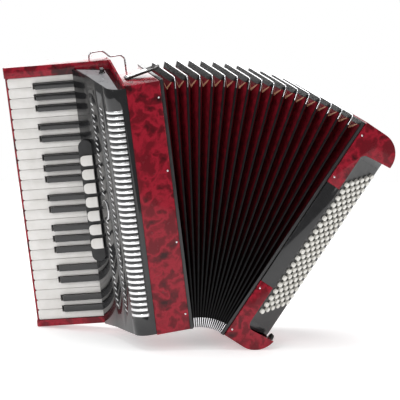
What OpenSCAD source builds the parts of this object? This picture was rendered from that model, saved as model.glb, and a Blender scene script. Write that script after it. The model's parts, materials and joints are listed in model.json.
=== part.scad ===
// Piano accordion, fanned open and standing on its own bottom edges.
// Treble frame: x along the bellows, away from the keyboard, y from the front to the player, z up.
// Fold frame: u across the fold, y as above, w up from the bottom edge of the fold.

/* [Stance] */
// How far the keyboard side leans over
lean = 9.84; // [6:0.02:14]
// Shift that puts the origin under the middle of the instrument, along x
stance_x = -63.9; // [-200:0.1:200]
// The same shift, from front to back
stance_y = -113.0; // [-200:0.1:200]
// Height of the middle of the keyboard casing above the floor
stance_z = 266.7; // [200:0.1:320]

/* [Bellows] */
// Number of fold frames between the two end frames
folds = 16; // [16:1:16]
// Angle between the two casings
fan_angle = 41.8; // [30:0.2:45]
// Distance between two fold frames that lie closed against each other
fold_pitch = 3.3; // [3.3:0.1:4]
// Height of the bellows
bellows_h = 462; // [440:1:470]
// Depth of the bellows from front to back
bellows_d = 180.6; // [170:0.2:184]
// Width of the board of one fold, from the crest to the valley
fold_board = 24; // [18:1:30]
// Thickness of one fold frame
fold_t = 2.6; // [2:0.1:2.8]
// Thickness of the frames that carry the bellows
end_frame_t = 6.2; // [5:0.2:8]

/* [Treble casing] */
// Height of the casing
case_h = 460; // [440:2:470]
// Depth of the casing from front to back
case_d = 187; // [180:1:200]
// Width of the casing beside the bellows
case_w = 62.6; // [55:0.2:75]
// Wall thickness of both casings
wall = 4; // [3:0.5:6]

/* [Keyboard] */
// Number of white keys
white_keys = 24; // [24:1:24]
// Distance from one white key to the next
key_pitch = 19; // [18.6:0.1:19.4]
// Visible length of a white key
key_len = 127; // [120:1:132]
// Angle between the keyboard and the front of the casing
key_tilt = 25; // [15:1:30]
// Height of the keyboard's middle above the casing's middle
key_rise = 12; // [0:1:14]
// How far a black key stands over the white ones
sharp_rise = 7; // [5:0.5:9]
// Radius of the axle that all the keys turn on
axle_r = 1.8; // [1.5:0.1:2]

/* [Bass casing] */
// Width of the casing, out from the bellows
bass_w = 86; // [80:1:95]
// Width of the flat strip at the front
bass_strip_w = 27; // [24:1:32]
// Depth of the slope that the buttons stand on
bass_slope_d = 50; // [40:1:60]
// Buttons along one row
button_columns = 20; // [20:1:20]
// Distance between two buttons of a row
button_pitch = 14.5; // [14:0.1:15]
// Radius of a button
button_r = 4.7; // [4:0.1:4.8]

/* [Hidden] */
NOTES = ["f", "g", "a", "b", "c", "d", "e"];

// Colours
red = "#8c0d1a";
black = "#141416";
silver = "#c9ccd0";
ivory = "#f2efe6";
wood = "#b98a56";
leather = "#1d1714";

// Small gaps: between pieces that are glued or screwed, that slide, and past a cut
joint_gap = 0.1;
slide_gap = 0.35;
past = 1;

// ---- places ----

// Angle between two neighbouring folds
fold_step = fan_angle / (folds + 1);
// Middle plane of the crest on the treble end frame
fan_x = end_frame_t - fold_t / 2;
fan_z = -bellows_h / 2;
bellows_y = (case_d - bellows_d) / 2;

function fold_x(k) = fan_x + fold_pitch * sin(k * fold_step) / (2 * sin(fold_step / 2));
function fold_z(k) = fan_z - fold_pitch * (1 - cos(k * fold_step)) / (2 * sin(fold_step / 2));

// Everything is drawn in the treble frame and stood up here
module stand() {
    translate([stance_x, stance_y, stance_z]) rotate([0, -lean, 0]) children();
}

// The frame of fold k
module at_fold(k) {
    translate([fold_x(k), 0, fold_z(k)]) rotate([0, k * fold_step, 0]) children();
}

// The bass casing's own frame starts at the outer face of its bellows frame
bass_joint = end_frame_t - fold_t / 2;
module at_bass() {
    stand() at_fold(folds + 1) translate([bass_joint, 0, 0]) children();
}

// Keyboard frame: x along the keys towards the bellows, y down into the keyboard, z across the keys
key_x = -126;
key_y = 141;
module at_keys() {
    stand() translate([key_x, key_y, key_rise]) rotate([0, 0, -key_tilt]) children();
}

// An upright prism over an outline of x and y, from height a to height b
module prism(a, b, outline) {
    translate([0, 0, a]) linear_extrude(b - a) polygon(outline);
}

// A prism over an outline of x and z, from depth a to depth b
module front_prism(a, b, outline) {
    translate([0, b, 0]) rotate([90, 0, 0]) linear_extrude(b - a) polygon(outline);
}

function arc(cx, cy, r, from, to, steps = 8) =
    [for (i = [0 : steps]) let (a = from + (to - from) * i / steps) [cx + r * cos(a), cy + r * sin(a)]];

// ---- treble casing ----

// Half the height of the window behind the soundboard
window_h = case_h / 2 - 14;

module treble_case() {
    color(red) stand() difference() {
        translate([-case_w, 0, -case_h / 2]) cube([case_w - joint_gap, case_d, case_h]);
        translate([-case_w + wall, wall, -case_h / 2 + wall])
            cube([case_w, case_d - 2 * wall, case_h - 2 * wall]);
        translate([-case_w - past, 22, -window_h]) cube([wall + 2 * past, 126, 2 * window_h]);
    }
}

// A rectangular frame standing on w = 0, from u = a to u = b
module bellows_ring(a, b, board) {
    difference() {
        translate([a, bellows_y, 0]) cube([b - a, bellows_d, bellows_h]);
        translate([a - past, bellows_y + board, board])
            cube([b - a + 2 * past, bellows_d - 2 * board, bellows_h - 2 * board]);
    }
}

module treble_bellows_frame() {
    color(black) stand() translate([0, 0, fan_z]) bellows_ring(0, end_frame_t, 14);
}

// Pallet holes, one beside each key arm
pallet_y = 84;
pallet_len = 34;
soundboard_t = 4;
module treble_soundboard() {
    color(wood) stand() difference() {
        translate([-case_w - soundboard_t - joint_gap, 16, -case_h / 2 + 6])
            cube([soundboard_t, 138, case_h - 20]);
        for (z = key_heights())
            translate([-case_w - soundboard_t - past, pallet_y + 4, pallet_z(z) - 2])
                cube([soundboard_t + 2 * past, pallet_len - 8, 4]);
    }
}

reed_block_count = 5;
module treble_reed_blocks() {
    color(wood) stand() for (i = [0 : reed_block_count - 1])
        translate([-case_w + wall + joint_gap, 30 + i * 24, -200]) difference() {
            cube([46, 15, 400]);
            for (z = [10 : 39 : 370])
                translate([6, -past, z]) cube([34, 15 + 2 * past, 8]);
        }
}

// ---- keyboard ----

// Slots between keys, and the depth of the keys' bodies
key_gap = 0.8;
key_body = 13;
sharp_w = 10.4;
sharp_len = 80;
key_tail = 17;
axle_at = [9, 8];

// Height of white key i over the middle of the keyboard, counted from the top
function white_z(i) = (white_keys / 2 - 0.5 - i) * key_pitch;
// A black key follows F, G, A, C and D: every note but B and E
function has_sharp(i) = let (n = NOTES[i % 7]) n != "b" && n != "e" && i < white_keys - 1;
// A black key sits between its two white ones, a little to one side in each group
function sharp_shift(i) =
    let (n = NOTES[i % 7]) (n == "f" || n == "c") ? 1.6 : (n == "a" || n == "d") ? -1.6 : 0;
function sharp_z(i) = white_z(i) - key_pitch / 2 + sharp_shift(i);
function key_heights() = concat(
    [for (i = [0 : white_keys - 1]) white_z(i)],
    [for (i = [0 : white_keys - 1]) if (has_sharp(i)) sharp_z(i)]);

module axle_bore() {
    translate([axle_at.x, axle_at.y, 0]) cylinder(h = 60, r = axle_r + 0.06, center = true, $fn = 48);
}

module white_key(i) {
    translate([0, 0, white_z(i)]) difference() {
        union() {
            translate([-key_len, 0, -(key_pitch - key_gap) / 2])
                cube([key_len + key_tail, key_body, key_pitch - key_gap]);
            translate([-key_len, key_body - past, -(key_pitch - key_gap) / 2])
                cube([4, 5, key_pitch - key_gap]);
        }
        axle_bore();
        for (s = [i - 1, i])
            if (s >= 0 && has_sharp(s))
                translate([-sharp_len - key_gap, -past, sharp_z(s) - white_z(i) - sharp_w / 2 - key_gap])
                    cube([sharp_len + key_tail + 4, key_body + 2 * past, sharp_w + 2 * key_gap]);
    }
}

module black_key(i) {
    translate([0, 0, sharp_z(i)]) difference() {
        translate([0, 0, -sharp_w / 2]) linear_extrude(sharp_w) polygon(concat(
            [[-sharp_len, key_body - 2]],
            arc(-sharp_len + 7, 3 - sharp_rise, 3, 200, 270, 5),
            [[key_tail, -sharp_rise], [key_tail, key_body - 2]]));
        axle_bore();
    }
}

// A point of the keyboard frame, seen from above in the treble frame
function key_point(x, y) =
    [key_x + x * cos(key_tilt) + y * sin(key_tilt), key_y - x * sin(key_tilt) + y * cos(key_tilt)];

// Lever: a plate from the key's tail round to the soundboard, with the pallet on its end.
// It leans towards the middle, so that the outer pallets clear the ends of the casing.
lever_t = 2.6;
lever_gap = 0.8;
lever_at = key_point(key_tail + lever_gap, axle_at.y);
lever_reach = lever_at.y - pallet_y - pallet_len / 2;
pallet_t = 4.4;
pallet_w = 5.2;
pallet_x = -case_w - soundboard_t - 0.3 - pallet_t;
function pallet_z(z) = (key_rise + z) * 0.954 - 8;
module key_lever(z) {
    stand() translate([0, lever_at.y, key_rise + z])
        rotate([asin((key_rise + z - pallet_z(z)) / lever_reach), 0, 0])
            translate([0, -lever_at.y, -lever_t / 2]) linear_extrude(lever_t) polygon([
                key_point(key_tail + lever_gap, 5), key_point(key_tail + lever_gap, 11),
                [pallet_x - joint_gap, pallet_y + 20], [pallet_x - joint_gap, pallet_y + 13],
                [pallet_x - 6, pallet_y + 13], [pallet_x - 9, pallet_y + 18]]);
    stand() translate([pallet_x, pallet_y, pallet_z(z) - pallet_w / 2])
        cube([pallet_t, pallet_len, pallet_w]);
}

// All the keys with one note's name
module keys(note, sharp) {
    for (i = [0 : white_keys - 1])
        if (NOTES[i % 7] == note && (!sharp || has_sharp(i))) {
            color(sharp ? black : ivory) at_keys() if (sharp) black_key(i); else white_key(i);
            color(silver) key_lever(sharp ? sharp_z(i) : white_z(i));
        }
}

module keys_c() { keys("c", false); }
module keys_c_sharp() { keys("c", true); }
module keys_d() { keys("d", false); }
module keys_d_sharp() { keys("d", true); }
module keys_e() { keys("e", false); }
module keys_f() { keys("f", false); }
module keys_f_sharp() { keys("f", true); }
module keys_g() { keys("g", false); }
module keys_g_sharp() { keys("g", true); }
module keys_a() { keys("a", false); }
module keys_a_sharp() { keys("a", true); }
module keys_b() { keys("b", false); }

module key_axle() {
    color(silver) at_keys() translate([axle_at.x, axle_at.y, 0])
        cylinder(h = 2 * keyboard_end, r = axle_r, center = true, $fn = 48);
}

// Half the length of the keyboard, and how far its bottom and top cheeks reach. The top cheek is
// thicker, runs back to the casing and is joined to its front corner by a rising rib.
key_field = white_keys * key_pitch / 2;
cheek_t = 11.4;
top_cheek_t = 20;
keyboard_end = key_field + 0.6 + cheek_t;
keyboard_top = key_field + 0.6 + top_cheek_t;
keyboard_edge = key_len + 6;
rib_x = -case_w - soundboard_t;
rib_from = 219;
module keyboard_frame() {
    color(red) difference() {
        union() {
            at_keys() prism(-key_field - past, key_field + past, [
                [-keyboard_edge + 1, 5], [-keyboard_edge + 1, 32], [12, 46], [12, 24],
                [-key_len - 1.4, 24], [-key_len - 1.4, 5]]);
            at_keys() prism(-keyboard_end, -keyboard_end + cheek_t, concat(
                arc(-keyboard_edge + 6, 3, 6, 180, 270, 4),
                [[22, -3], [22, 51], [-keyboard_edge, 34]]));
            stand() translate([0, 0, key_rise]) {
                prism(-keyboard_end + 0.5, keyboard_top - 0.5, [
                    key_point(5, 28), [-case_w - joint_gap, 157], [-case_w - joint_gap, case_d],
                    [-84, case_d], key_point(5, 42)]);
                prism(keyboard_top - top_cheek_t, keyboard_top, concat(
                    [for (p = arc(-keyboard_edge + 6, 3, 6, 180, 270, 4)) key_point(p.x, p.y)],
                    [[-case_w - 0.4, 108.3], [-case_w - 0.4, case_d - 0.6], [-84.6, case_d - 0.6],
                    key_point(-keyboard_edge, 34)]));
            }
            stand() translate([rib_x, 0, 0]) rotate([90, 0, 90]) linear_extrude(soundboard_t - 0.2)
                polygon([[3, rib_from], [3, case_h / 2], [108, key_rise + keyboard_top - 0.5],
                    [114, key_rise + keyboard_top - 0.5], [114, rib_from]]);
        }
        at_keys() translate([axle_at.x, axle_at.y, 0])
            cylinder(h = 2 * keyboard_end + past, r = axle_r + 0.02, center = true, $fn = 48);
    }
}

// ---- grille and registers ----

grille_top = 225;
grille_bottom = -228;
grille_wall = 2.4;
grille_pitch = 10.4;
grille_slots = 37;
corner_r = 27;
ridge_x = -case_w - 36.4;
ridge_y = 30;

// Outer face of the grille, from the keys round to the front panel, moved in by a distance
function grille_line(d) = concat(
    [key_point(-1 + d, -9.5), [key_x + 10 + d, 94], [key_x + 18.6 + d, 58], [ridge_x - 1 + d, ridge_y]],
    arc(ridge_x + corner_r, corner_r, corner_r - d, 180, 270, 10),
    [[-case_w - joint_gap, d]]);
line_last = len(grille_line(0)) - 1;

// Everything below the cover's top end, which rises towards the keyboard, lowered by a distance
top_slope = 10.8;
module below_top(drop) {
    translate([-260, 0, grille_top - drop]) rotate([top_slope, 0, 0]) translate([0, -200, -600])
        cube([260, 500, 600]);
}

// One slanting slot through the grille, at a height and a depth along its face
module slant_slot(x, y, z) {
    translate([x, y, z]) rotate([0, 0, 16]) rotate([24, 0, 0]) cube([16, 11, 4.4], center = true);
}

slot_columns = [[key_x + 12, 80], [key_x + 20, 46]];
module treble_grille() {
    color(black) stand() difference() {
        union() {
            intersection() {
                prism(grille_bottom, grille_top + 40, concat(
                    grille_line(0), [for (p = [line_last : -1 : 0]) grille_line(grille_wall)[p]]));
                below_top(0);
            }
            prism(grille_bottom, grille_bottom + 2.4, concat(grille_line(1), [
                [-case_w - joint_gap, 15], [rib_x - past, 15], [rib_x - past, 85]]));
            intersection() {
                prism(grille_top - 10, grille_top + 40, concat(grille_line(1), [
                    [rib_x - 0.4, 2.8], [rib_x - 0.4, 109.6], key_point(0, -3.4)]));
                difference() {
                    below_top(2);
                    below_top(4.4);
                }
            }
        }
        for (i = [0 : grille_slots - 1]) let (z = (i - (grille_slots - 1) / 2) * grille_pitch) {
            if (abs(z + 4) > 22) slant_slot(slot_columns[0].x, slot_columns[0].y, z + 4);
            slant_slot(slot_columns[1].x, slot_columns[1].y, z);
            translate([ridge_x - past, -past, z - 6]) cube([corner_r + past, corner_r - 3, 6]);
        }
    }
}

// The metal screen behind the slots
module grille_screen() {
    gap = grille_wall + 1.2;
    color(silver) stand() prism(grille_bottom + 24, grille_top - 24, concat(
        [for (p = [1 : line_last - 2]) grille_line(gap)[p]],
        [for (p = [line_last - 2 : -1 : 1]) grille_line(gap + 0.8)[p]]));
}

bank_from = -115;
bank_to = 111;
bank_x = [-2, 24];
bank_y = [-33, -9.5];
module register_bank() {
    color(black) difference() {
        at_keys() {
            translate([bank_x[0], bank_y[0], bank_from + 13])
                cube([bank_x[1] - bank_x[0], bank_y[1] - bank_y[0], bank_to - bank_from - 26]);
            for (z = [bank_from + 13, bank_to - 13]) translate([bank_x[0] + 13, bank_y[1], z])
                rotate([90, 0, 0]) cylinder(h = bank_y[1] - bank_y[0], r = 13, $fn = 64);
        }
        stand() prism(grille_bottom, grille_top, concat(grille_line(-joint_gap), [[-case_w, 130]]));
    }
}

// A paddle that rocks on its inner edge
switch_count = 7;
switch_pitch = 25.8;
switch_x = 21;
switch_t = 3;
switch_w = 19.2;
function switch_z(i) = ((switch_count + 1) / 2 - i) * switch_pitch - 3.5;
module register_switch(i) {
    color(ivory) at_keys() translate([switch_x, bank_y[0] - 1.2, switch_z(i)]) rotate([0, 0, 8]) {
        rotate([90, 0, 0]) linear_extrude(switch_t) polygon(concat(
            [[0, switch_w / 2]], arc(-14, 2.6, 7, 90, 180, 4), arc(-14, -2.6, 7, 180, 270, 4),
            [[0, -switch_w / 2]]));
        translate([0, -switch_t / 2, 0])
            cylinder(h = switch_w, r = switch_t / 2, center = true, $fn = 32);
    }
}
module register_switch_1() { register_switch(1); }
module register_switch_2() { register_switch(2); }
module register_switch_3() { register_switch(3); }
module register_switch_4() { register_switch(4); }
module register_switch_5() { register_switch(5); }
module register_switch_6() { register_switch(6); }
module register_switch_7() { register_switch(7); }

// ---- straps on the treble side ----

// A bent round wire along a line of points of x and z
module wire(points, r) {
    for (i = [0 : len(points) - 2]) let (a = points[i], run = points[i + 1] - a) {
        translate([a.x, 0, a.y]) rotate([0, atan2(run.x, run.y), 0])
            cylinder(h = norm(run), r = r, $fn = 24);
        if (i > 0) translate([a.x, 0, a.y]) sphere(r + 0.15, $fn = 24);
    }
}

module strap_bracket() {
    color(silver) stand() translate([0, 150, 0]) wire([
        [-94, keyboard_top + key_rise + joint_gap], [-94, 268], [-89, 272], [-69, 272], [-62, 266],
        [-56, 259], [-36, 259], [-29, 252], [-29, case_h / 2 + joint_gap]], 1.6);
}

strap_hinge = [-48, 50, case_h / 2 + 2.4];
module bellows_strap() {
    color(leather) stand() translate(strap_hinge) rotate([0, -11, 0]) difference() {
        union() {
            rotate([-90, 0, 0]) cylinder(h = 24, r = 2, $fn = 32);
            translate([0, 0, -1.4]) cube([52, 24, 2.8]);
            translate([52, 12, -1.4]) cylinder(h = 2.8, r = 12, $fn = 64);
        }
        translate([52, 12, -3]) cylinder(h = 6, r = 4, $fn = 48);
    }
}

// ---- bellows folds ----

corner_len = 20;
corner_w = 8;
corner_t = 2.9;
module bellows_fold(k) {
    stand() at_fold(k) {
        color(black) difference() {
            bellows_ring(-fold_t / 2, fold_t / 2, fold_board);
            corner_caps(corner_t + past, joint_gap);
        }
        color(silver) corner_caps(corner_t, 0);
    }
}

// Metal caps, L-shaped, on the four corners of a fold, grown by a margin on the inside
module corner_caps(t, margin) {
    for (y = [0, 1], w = [0, 1])
        translate([-t / 2, y ? bellows_y + bellows_d : bellows_y, w * bellows_h])
            mirror([0, y, 0]) mirror([0, 0, w]) difference() {
                cube([t, corner_len + margin, corner_len + margin]);
                translate([-past, corner_w + margin, corner_w + margin])
                    cube([t + 2 * past, corner_len, corner_len]);
            }
}
module bellows_fold_01() { bellows_fold(1); }
module bellows_fold_02() { bellows_fold(2); }
module bellows_fold_03() { bellows_fold(3); }
module bellows_fold_04() { bellows_fold(4); }
module bellows_fold_05() { bellows_fold(5); }
module bellows_fold_06() { bellows_fold(6); }
module bellows_fold_07() { bellows_fold(7); }
module bellows_fold_08() { bellows_fold(8); }
module bellows_fold_09() { bellows_fold(9); }
module bellows_fold_10() { bellows_fold(10); }
module bellows_fold_11() { bellows_fold(11); }
module bellows_fold_12() { bellows_fold(12); }
module bellows_fold_13() { bellows_fold(13); }
module bellows_fold_14() { bellows_fold(14); }
module bellows_fold_15() { bellows_fold(15); }
module bellows_fold_16() { bellows_fold(16); }

// ---- bass side, in its own frame: u out from the bellows, y back, w up ----

module bass_bellows_frame() {
    color(black) at_bass() bellows_ring(-end_frame_t, 0, 14);
}

bass_bottom = 2;
bass_top = 465;
bottom_round = 45;
top_round = 42;
function bass_outline(d) = concat(
    [[joint_gap, bass_bottom + d]],
    arc(bass_w - bottom_round, bass_bottom + bottom_round, bottom_round - d, -90, 0, 12),
    arc(bass_w - top_round, bass_top - top_round, top_round - d, 0, 90, 12),
    [[joint_gap, bass_top - d]]);

// The front is cut back between the two rounded ends, down the slope of the button board
slope_angle = atan2(bass_slope_d, bass_w - bass_strip_w);
slope_len = norm([bass_slope_d, bass_w - bass_strip_w]);
cut_from = 36;
cut_to = 415;
cut_outline = concat(
    arc(bass_strip_w + 13, cut_from + 13, 13, 180, 270, 6), [[bass_w + 9, cut_from + 5]],
    [[bass_w + 9, cut_to + 5], [bass_strip_w + 7, cut_to - 1], [bass_strip_w, cut_to - 8]]);
// The frame of the slope: x down the slope, y into the casing, z up the casing
module at_slope() {
    translate([bass_strip_w, 0, 0]) rotate([0, 0, slope_angle]) children();
}
module slope_cut(depth) {
    intersection() {
        at_slope() translate([-60, -80 + depth, 0]) cube([200, 80, bass_top]);
        front_prism(-past, case_d + past, cut_outline);
        translate([bass_strip_w, -past, 0]) cube([bass_w, bass_slope_d + 20, bass_top]);
    }
}

board_t = 3;
board_from = 52;
board_to = 405;
black_from = 121;
black_to = 336;
air_at = [112, 412];
air_r = 7;
module bass_case() {
    color(red) at_bass() difference() {
        front_prism(0, case_d, bass_outline(0));
        slope_cut(0);
        difference() {
            translate([-past, 0, 0]) front_prism(wall, case_d - wall, bass_outline(wall));
            slope_cut(board_t + 3);
        }
        at_slope() translate([3, -past, board_from]) cube([slope_len - 6, 14, board_to - board_from]);
        translate([-past, -past, black_from])
            cube([bass_strip_w + past, wall + 2 * past, black_to - black_from]);
        translate([bass_w - 20, air_at.x, air_at.y]) rotate([0, 90, 0])
            cylinder(h = 30, r = air_r + slide_gap, $fn = 64);
    }
}

module bass_front_panel() {
    color(black) at_bass() difference() {
        translate([joint_gap, 0, black_from + joint_gap])
            cube([bass_strip_w - joint_gap, wall, black_to - black_from - 2 * joint_gap]);
        at_slope() translate([-40, -80, 0]) cube([200, 80, bass_top]);
    }
}

button_rows = 6;
row_pitch = 11.5;
row_shift = 7.4;
first_row = 10;
first_column = 75;
function button_s(row) = first_row + (row - 1) * row_pitch;
function button_z(row, column) = first_column + (row - 1) * row_shift + column * button_pitch;

module bass_button_board() {
    color(black) at_bass() at_slope() difference() {
        translate([3 + joint_gap, 0, board_from + joint_gap])
            cube([slope_len - 6 - 2 * joint_gap, board_t, board_to - board_from - 2 * joint_gap]);
        for (row = [1 : button_rows], column = [0 : button_columns - 1])
            translate([button_s(row), -past, button_z(row, column)]) rotate([-90, 0, 0])
                cylinder(h = board_t + 2 * past, r = button_r + slide_gap, $fn = 32);
    }
}

button_rise = 5.5;
button_body = 13;
module bass_buttons(row) {
    color(ivory) at_bass() at_slope() for (column = [0 : button_columns - 1])
        translate([button_s(row), button_body - button_rise, button_z(row, column)]) rotate([90, 0, 0])
            rotate_extrude($fn = 32) polygon(concat(
                [[0, 0], [button_r, 0]],
                arc(button_r - 1.5, button_body - 1.5, 1.5, 0, 90, 3), [[0, button_body]]));
}
module bass_buttons_row_1() { bass_buttons(1); }
module bass_buttons_row_2() { bass_buttons(2); }
module bass_buttons_row_3() { bass_buttons(3); }
module bass_buttons_row_4() { bass_buttons(4); }
module bass_buttons_row_5() { bass_buttons(5); }
module bass_buttons_row_6() { bass_buttons(6); }

// Soundboard and reed blocks, reaching into the bellows
module bass_reed_blocks() {
    color(wood) at_bass() {
        translate([0.2, wall + 0.4, 18]) cube([3.6, case_d - 2 * wall - 0.8, bellows_h - 36]);
        for (i = [0 : 3]) translate([-40, 38 + i * 28, 70]) cube([40, 14, 320]);
    }
}

strap_w = 56;
strap_y = 126;
strap_from = 62;
strap_to = 398;
strap_bow = 24;
strap_t = 2.6;
strap_half = (strap_to - strap_from) / 2;
strap_r = (strap_half * strap_half + strap_bow * strap_bow) / (2 * strap_bow);
strap_turn = asin(strap_half / strap_r);
// The bow of the strap, seen from the front, at a distance outside its inner face
function strap_line(out, from, to) =
    arc(bass_w + joint_gap + strap_bow - strap_r + out, (strap_from + strap_to) / 2, strap_r, from, to, 16);
module bass_strap() {
    color(leather) at_bass() front_prism(strap_y, strap_y + strap_w, concat(
        strap_line(0, -strap_turn, strap_turn), strap_line(strap_t, strap_turn, -strap_turn)));
}

module bass_feet() {
    color(black) at_bass() for (y = [35, 155], w = [40, 432])
        translate([bass_w + joint_gap, y, w]) rotate([0, 90, 0])
            cylinder(h = 6, r1 = 9, r2 = 7.5, $fn = 48);
}

module air_button() {
    color(ivory) at_bass() translate([bass_w - 9, air_at.x, air_at.y]) rotate([0, 90, 0])
        cylinder(h = 14, r = air_r, $fn = 64);
}

treble_case();
keyboard_frame();
key_axle();
treble_grille();
grille_screen();
register_bank();
treble_soundboard();
treble_reed_blocks();
strap_bracket();
bellows_strap();
treble_bellows_frame();
keys_c();
keys_c_sharp();
keys_d();
keys_d_sharp();
keys_e();
keys_f();
keys_f_sharp();
keys_g();
keys_g_sharp();
keys_a();
keys_a_sharp();
keys_b();
register_switch_1();
register_switch_2();
register_switch_3();
register_switch_4();
register_switch_5();
register_switch_6();
register_switch_7();
bellows_fold_01();
bellows_fold_02();
bellows_fold_03();
bellows_fold_04();
bellows_fold_05();
bellows_fold_06();
bellows_fold_07();
bellows_fold_08();
bellows_fold_09();
bellows_fold_10();
bellows_fold_11();
bellows_fold_12();
bellows_fold_13();
bellows_fold_14();
bellows_fold_15();
bellows_fold_16();
bass_bellows_frame();
bass_case();
bass_front_panel();
bass_button_board();
bass_reed_blocks();
bass_strap();
bass_feet();
air_button();
bass_buttons_row_1();
bass_buttons_row_2();
bass_buttons_row_3();
bass_buttons_row_4();
bass_buttons_row_5();
bass_buttons_row_6();
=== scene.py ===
"""Looks of the piano accordion.

Sizes are in millimetres, in the same frames as the design, until piece() turns them into metres.
"""
import json
import math

import bmesh
import bpy
from mathutils import Matrix, Vector

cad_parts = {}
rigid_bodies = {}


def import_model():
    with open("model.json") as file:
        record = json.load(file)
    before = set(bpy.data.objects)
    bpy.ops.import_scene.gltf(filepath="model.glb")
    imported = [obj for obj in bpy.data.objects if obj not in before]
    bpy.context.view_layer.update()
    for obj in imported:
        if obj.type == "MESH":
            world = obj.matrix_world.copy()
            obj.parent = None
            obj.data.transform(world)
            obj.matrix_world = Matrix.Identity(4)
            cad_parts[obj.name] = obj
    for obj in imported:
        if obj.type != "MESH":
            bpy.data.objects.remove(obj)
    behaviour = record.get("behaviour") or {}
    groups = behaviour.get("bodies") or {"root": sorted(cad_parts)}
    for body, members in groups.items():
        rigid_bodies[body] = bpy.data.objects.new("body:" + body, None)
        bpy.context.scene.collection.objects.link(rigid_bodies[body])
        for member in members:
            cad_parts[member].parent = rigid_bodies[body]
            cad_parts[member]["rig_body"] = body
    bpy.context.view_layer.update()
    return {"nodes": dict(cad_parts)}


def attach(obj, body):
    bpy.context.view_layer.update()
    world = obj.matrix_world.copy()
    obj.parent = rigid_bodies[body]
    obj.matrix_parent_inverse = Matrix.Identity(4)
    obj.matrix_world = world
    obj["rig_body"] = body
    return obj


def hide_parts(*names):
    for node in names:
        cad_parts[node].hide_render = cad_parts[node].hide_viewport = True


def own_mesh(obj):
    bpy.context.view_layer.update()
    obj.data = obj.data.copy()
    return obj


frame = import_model()
NODES = frame["nodes"]
MM = 0.001

# ---- the design's driving sizes, in millimetres and degrees ----

LEAN = 9.84
STANCE = (-63.9, -113.0, 266.7)
FOLDS = 16
FAN_ANGLE = 41.8
FOLD_STEP = FAN_ANGLE / (FOLDS + 1)
FOLD_PITCH = 3.3
FOLD_T = 2.6
END_FRAME_T = 6.2
BELLOWS_H = 462.0
BELLOWS_D = 180.6
CASE_H = 460.0
CASE_D = 187.0
CASE_W = 62.6
BELLOWS_Y = (CASE_D - BELLOWS_D) / 2
FAN_X = END_FRAME_T - FOLD_T / 2
KEY_ORIGIN = (-126.0, 141.0, 12.0)
KEY_TILT = 25.0
KEY_LEN = 127.0
BASS_W = 86.0
BASS_STRIP_W = 27.0
SLOPE_ANGLE = math.degrees(math.atan2(50.0, BASS_W - BASS_STRIP_W))
RIDGE_X = -CASE_W - 36.4
CORNER_R = 27.0
GRILLE_TOP = 225.0
GRILLE_PITCH = 10.4
GRILLE_SLOTS = 37
TOP_SLOPE = 10.8
REGISTERS = 7
WHITE_NOTES = "cdefgab"
BLACK_NOTES = "cdfga"
BUTTON_ROWS = 6


def turn(axis, degrees):
    return Matrix.Rotation(math.radians(degrees), 4, axis)


def fold_place(k):
    """Where fold k's crest plane meets the bottom of the bellows, as x and z of the treble frame."""
    half = math.radians(FOLD_STEP / 2)
    a = math.radians(k * FOLD_STEP)
    reach = FOLD_PITCH / (2 * math.sin(half))
    return FAN_X + reach * math.sin(a), -BELLOWS_H / 2 - reach * (1 - math.cos(a))


def fold_frame(k):
    x, z = fold_place(k)
    return TREBLE @ Matrix.Translation((x, 0, z)) @ turn("Y", k * FOLD_STEP)


TREBLE = Matrix.Translation(STANCE) @ turn("Y", -LEAN)
KEYS = TREBLE @ Matrix.Translation(KEY_ORIGIN) @ turn("Z", -KEY_TILT)
BASS = fold_frame(FOLDS + 1) @ Matrix.Translation((FAN_X, 0, 0))
SLOPE = BASS @ Matrix.Translation((BASS_STRIP_W, 0, 0)) @ turn("Z", SLOPE_ANGLE)


# ---- materials ----

def rgb(r, g, b):
    return (r, g, b, 1.0)


class Paint:
    """A node material with short ways to add noise, ramps and bump."""

    def __init__(self, name, color, roughness, metallic=0.0, coat=0.0, sheen=0.0, specular=0.5):
        self.mat = bpy.data.materials.new(name)
        self.mat.use_nodes = True
        self.tree = self.mat.node_tree
        self.shader = self.tree.nodes["Principled BSDF"]
        self.set("Base Color", color)
        self.set("Roughness", roughness)
        self.set("Metallic", metallic)
        self.set("Coat Weight", coat)
        self.set("Coat Roughness", 0.04)
        self.set("Sheen Weight", sheen)
        self.set("Specular IOR Level", specular)
        self.place = self.node("ShaderNodeTexCoord").outputs["Object"]

    def node(self, kind, **inputs):
        made = self.tree.nodes.new(kind)
        for name, value in inputs.items():
            made.inputs[name.replace("_", " ")].default_value = value
        return made

    def set(self, name, value):
        self.shader.inputs[name].default_value = value

    def link(self, output, target):
        self.tree.links.new(output, target)

    def noise(self, scale, detail=3.0, rough=0.55, vector=None):
        made = self.node("ShaderNodeTexNoise", Scale=scale, Detail=detail, Roughness=rough)
        self.link(vector or self.place, made.inputs["Vector"])
        return made

    def stretched(self, x, y, z):
        made = self.node("ShaderNodeMapping")
        made.inputs["Scale"].default_value = (x, y, z)
        self.link(self.place, made.inputs["Vector"])
        return made.outputs["Vector"]

    def ramp(self, output, stops):
        made = self.tree.nodes.new("ShaderNodeValToRGB")
        elements = made.color_ramp.elements
        while len(elements) < len(stops):
            elements.new(0.5)
        for element, (position, color) in zip(elements, stops):
            element.position = position
            element.color = color
        self.link(output, made.inputs["Fac"])
        return made.outputs["Color"]

    def color(self, output, stops):
        self.link(self.ramp(output, stops), self.shader.inputs["Base Color"])

    def roughness(self, output, low, high):
        shades = [(0.3, rgb(low, low, low)), (0.7, rgb(high, high, high))]
        self.link(self.ramp(output, shades), self.shader.inputs["Roughness"])

    def bump(self, output, strength, distance_mm):
        made = self.node("ShaderNodeBump", Strength=strength, Distance=distance_mm * MM)
        self.link(output, made.inputs["Height"])
        self.link(made.outputs["Normal"], self.shader.inputs["Normal"])


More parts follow.
